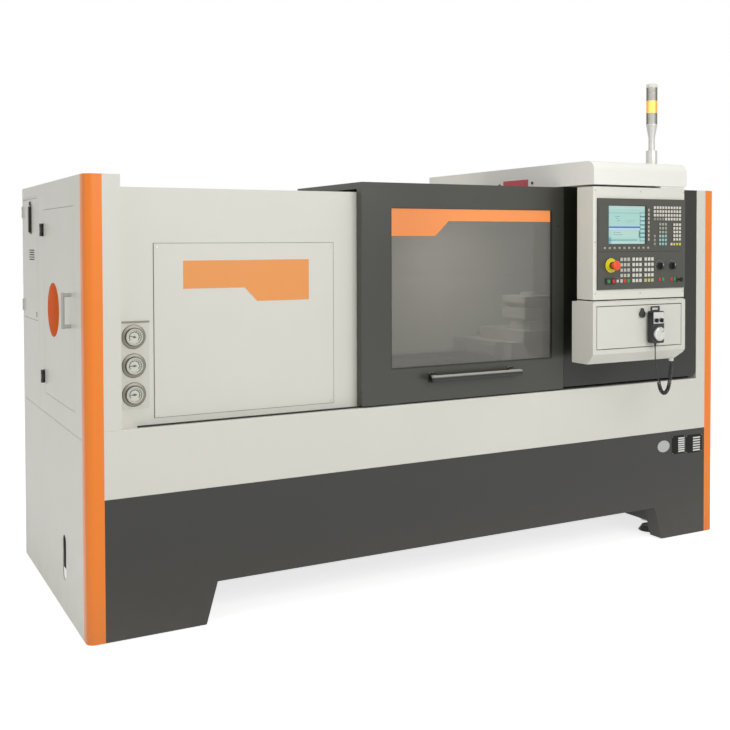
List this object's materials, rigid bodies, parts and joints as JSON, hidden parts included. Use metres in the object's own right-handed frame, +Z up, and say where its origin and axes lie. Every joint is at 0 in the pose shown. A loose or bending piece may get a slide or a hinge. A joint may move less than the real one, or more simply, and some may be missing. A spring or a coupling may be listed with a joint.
{
  "type": "CNC turning lathe",
  "caption": "Enclosed flat-bed turning lathe with sliding front door, swivelling control panel, hand pendant and signal tower.",
  "frame": {"origin": "floor under the middle of the machine's outline", "axes": "+X along the machine to the right end, +Y to the rear, +Z up"},
  "size_m": [2.9336, 1.461, 2.0291],
  "materials": {
    "white_paint": "satin",
    "orange_paint": "satin",
    "dark_paint": "satin",
    "grey_paint": "satin",
    "ground_steel": "ground",
    "bright_chrome": "polished",
    "casting": "painted",
    "window_glass": "clear",
    "control_housing": "satin",
    "control_face": "matt",
    "red_plastic": "gloss",
    "green_plastic": "gloss",
    "black_plastic": "matt",
    "grey_plastic": "matt",
    "rubber": "matt",
    "zinc_steel": "zinc"
  },
  "bodies": {
    "machine": {"machine_base": "casting", "levelling_feet": "zinc_steel", "bed": "ground_steel", "headstock": "casting", "coolant_tank": "grey_paint", "front_apron": "dark_paint", "front_band": "white_paint", "headstock_guard": "white_paint", "service_cover": "white_paint", "pressure_gauges": "bright_chrome", "corner_strips": "orange_paint", "side_panels": "white_paint", "fixed_panel": "dark_paint", "rear_panels": "white_paint", "electrical_cabinet": "white_paint", "drive_rack": "zinc_steel", "control_arm": "white_paint", "signal_tower": "grey_plastic", "door_rails": "ground_steel", "drive_motors": "dark_paint", "drive_belt": "rubber"},
    "gauge_needle_1": {"gauge_needle_1": "red_plastic"},
    "gauge_needle_2": {"gauge_needle_2": "red_plastic"},
    "gauge_needle_3": {"gauge_needle_3": "red_plastic"},
    "sliding_door": {"sliding_door": "dark_paint", "door_window": "window_glass", "door_handle": "black_plastic"},
    "side_door": {"side_door": "white_paint"},
    "cabinet_door": {"cabinet_door": "white_paint"},
    "cabinet_latch": {"cabinet_latch": "black_plastic"},
    "control_unit": {"control_box": "control_housing", "display_unit": "control_face", "machine_panel": "control_face", "storage_box": "control_housing", "cord_lead": "rubber", "cord_curl": "rubber"},
    "estop_button": {"estop_button": "red_plastic"},
    "on_button": {"on_button": "green_plastic"},
    "off_button": {"off_button": "red_plastic"},
    "spindle_override": {"spindle_override": "black_plastic"},
    "feed_override": {"feed_override": "black_plastic"},
    "key_switch": {"key_switch": "bright_chrome"},
    "storage_flap": {"storage_flap": "control_housing", "pendant": "black_plastic"},
    "flap_lock": {"flap_lock": "bright_chrome"},
    "pendant_wheel": {"pendant_wheel": "ground_steel"},
    "axis_knob": {"axis_knob": "black_plastic"},
    "step_knob": {"step_knob": "black_plastic"},
    "spindle": {"spindle": "ground_steel", "chuck": "ground_steel"},
    "chuck_jaw_1": {"chuck_jaw_1": "ground_steel"},
    "chuck_jaw_2": {"chuck_jaw_2": "ground_steel"},
    "chuck_jaw_3": {"chuck_jaw_3": "ground_steel"},
    "motor_pulley": {"motor_pulley": "ground_steel"},
    "carriage": {"carriage": "casting"},
    "cross_slide": {"cross_slide": "ground_steel"},
    "turret_head": {"turret_head": "ground_steel"},
    "tailstock": {"tailstock": "casting"},
    "quill": {"quill": "ground_steel"},
    "feed_screw": {"feed_screw": "ground_steel"}
  },
  "joints": [
    {"name": "needle_1_turn", "type": "hinge", "parent": "machine", "child": "gauge_needle_1", "pos_m": [-1.25775, -0.4085, 1.032], "axis": [0, 1, 0], "range_deg": [-45, 225]},
    {"name": "needle_2_turn", "type": "hinge", "parent": "machine", "child": "gauge_needle_2", "pos_m": [-1.25775, -0.4085, 0.9324], "axis": [0, 1, 0], "range_deg": [-45, 225]},
    {"name": "needle_3_turn", "type": "hinge", "parent": "machine", "child": "gauge_needle_3", "pos_m": [-1.25775, -0.4085, 0.8326], "axis": [0, 1, 0], "range_deg": [-45, 225]},
    {"name": "door_slide", "type": "slide", "parent": "machine", "child": "sliding_door", "axis": [-1, 0, 0], "range_m": [0, 0.8]},
    {"name": "side_door_hinge", "type": "hinge", "parent": "machine", "child": "side_door", "pos_m": [-1.44175, 0.2535, 1.1], "axis": [0, 0, -1], "range_deg": [0, 110]},
    {"name": "cabinet_door_hinge", "type": "hinge", "parent": "machine", "child": "cabinet_door", "pos_m": [-1.43695, 0.7125, 1.288], "axis": [0, 0, -1], "range_deg": [0, 110]},
    {"name": "cabinet_latch_turn", "type": "hinge", "parent": "cabinet_door", "child": "cabinet_latch", "pos_m": [-1.43725, 0.5265, 1.496], "axis": [1, 0, 0], "range_deg": [0, 90]},
    {"name": "control_unit_swivel", "type": "hinge", "parent": "machine", "child": "control_unit", "pos_m": [1.00375, -0.5935, 1.59], "axis": [0, 0, 1], "range_deg": [0, 80]},
    {"name": "estop_press", "type": "slide", "parent": "control_unit", "child": "estop_button", "axis": [0, 1, 0], "range_m": [0, 0.005], "stiffness_N_per_m": 900},
    {"name": "on_press", "type": "slide", "parent": "control_unit", "child": "on_button", "axis": [0, 1, 0], "range_m": [0, 0.003], "stiffness_N_per_m": 500},
    {"name": "off_press", "type": "slide", "parent": "control_unit", "child": "off_button", "axis": [0, 1, 0], "range_m": [0, 0.003], "stiffness_N_per_m": 500},
    {"name": "spindle_override_turn", "type": "hinge", "parent": "control_unit", "child": "spindle_override", "pos_m": [0.92375, -0.6595, 1.25], "axis": [0, -1, 0], "range_deg": [-135, 135]},
    {"name": "feed_override_turn", "type": "hinge", "parent": "control_unit", "child": "feed_override", "pos_m": [0.99225, -0.6595, 1.25], "axis": [0, -1, 0], "range_deg": [-135, 135]},
    {"name": "key_switch_turn", "type": "hinge", "parent": "control_unit", "child": "key_switch", "pos_m": [1.02775, -0.6595, 1.191], "axis": [0, -1, 0], "range_deg": [0, 90]},
    {"name": "storage_flap_hinge", "type": "hinge", "parent": "control_unit", "child": "storage_flap", "pos_m": [0.79825, -0.6625, 0.919], "axis": [1, 0, 0], "range_deg": [0, 65], "deforming": ["cord_lead", "cord_curl"]},
    {"name": "flap_lock_turn", "type": "hinge", "parent": "storage_flap", "child": "flap_lock", "pos_m": [0.80475, -0.6695, 1.052], "axis": [0, -1, 0], "range_deg": [0, 90]},
    {"name": "pendant_wheel_turn", "type": "hinge", "parent": "storage_flap", "child": "pendant_wheel", "pos_m": [0.86375, -0.7105, 0.97], "axis": [0, -1, 0], "continuous": true},
    {"name": "axis_knob_turn", "type": "hinge", "parent": "storage_flap", "child": "axis_knob", "pos_m": [0.84975, -0.7105, 1.026], "axis": [0, -1, 0], "range_deg": [-60, 60]},
    {"name": "step_knob_turn", "type": "hinge", "parent": "storage_flap", "child": "step_knob", "pos_m": [0.87775, -0.7105, 1.026], "axis": [0, -1, 0], "range_deg": [-60, 60]},
    {"name": "spindle_turn", "type": "hinge", "parent": "machine", "child": "spindle", "pos_m": [-1.08325, 0.0365, 1.075], "axis": [1, 0, 0], "continuous": true},
    {"name": "jaw_1_slide", "type": "slide", "parent": "spindle", "child": "chuck_jaw_1", "axis": [0, 0, -1], "range_m": [0, 0.0045]},
    {"name": "jaw_2_slide", "type": "slide", "parent": "spindle", "child": "chuck_jaw_2", "axis": [0, 0.866, 0.5], "range_m": [0, 0.0045]},
    {"name": "jaw_3_slide", "type": "slide", "parent": "spindle", "child": "chuck_jaw_3", "axis": [0, -0.866, 0.5], "range_m": [0, 0.0045]},
    {"name": "motor_turn", "type": "hinge", "parent": "machine", "child": "motor_pulley", "pos_m": [-1.08325, 0.0365, 0.69], "axis": [1, 0, 0], "continuous": true},
    {"name": "carriage_travel", "type": "slide", "parent": "machine", "child": "carriage", "axis": [-1, 0, 0], "range_m": [0, 0.64]},
    {"name": "cross_travel", "type": "slide", "parent": "carriage", "child": "cross_slide", "axis": [0, 1, 0], "range_m": [-0.075, 0.065]},
    {"name": "turret_index", "type": "hinge", "parent": "cross_slide", "child": "turret_head", "pos_m": [0.63675, -0.1165, 1.06], "axis": [0, 0, 1], "continuous": true},
    {"name": "tailstock_travel", "type": "slide", "parent": "machine", "child": "tailstock", "axis": [-1, 0, 0], "range_m": [0, 0.14]},
    {"name": "quill_travel", "type": "slide", "parent": "tailstock", "child": "quill", "axis": [-1, 0, 0], "range_m": [0, 0.09]},
    {"name": "feed_screw_turn", "type": "hinge", "parent": "machine", "child": "feed_screw", "pos_m": [-0.43825, -0.1515, 0.762], "axis": [1, 0, 0], "range_deg": [0, 23040]}
  ],
  "couplings": [
    {"joint": "motor_turn", "follows": "spindle_turn", "ratio": 1.5333},
    {"joint": "jaw_2_slide", "follows": "jaw_1_slide", "ratio": 1},
    {"joint": "jaw_3_slide", "follows": "jaw_1_slide", "ratio": 1},
    {"joint": "feed_screw_turn", "follows": "carriage_travel", "rad_per_m": 628.32}
  ]
}
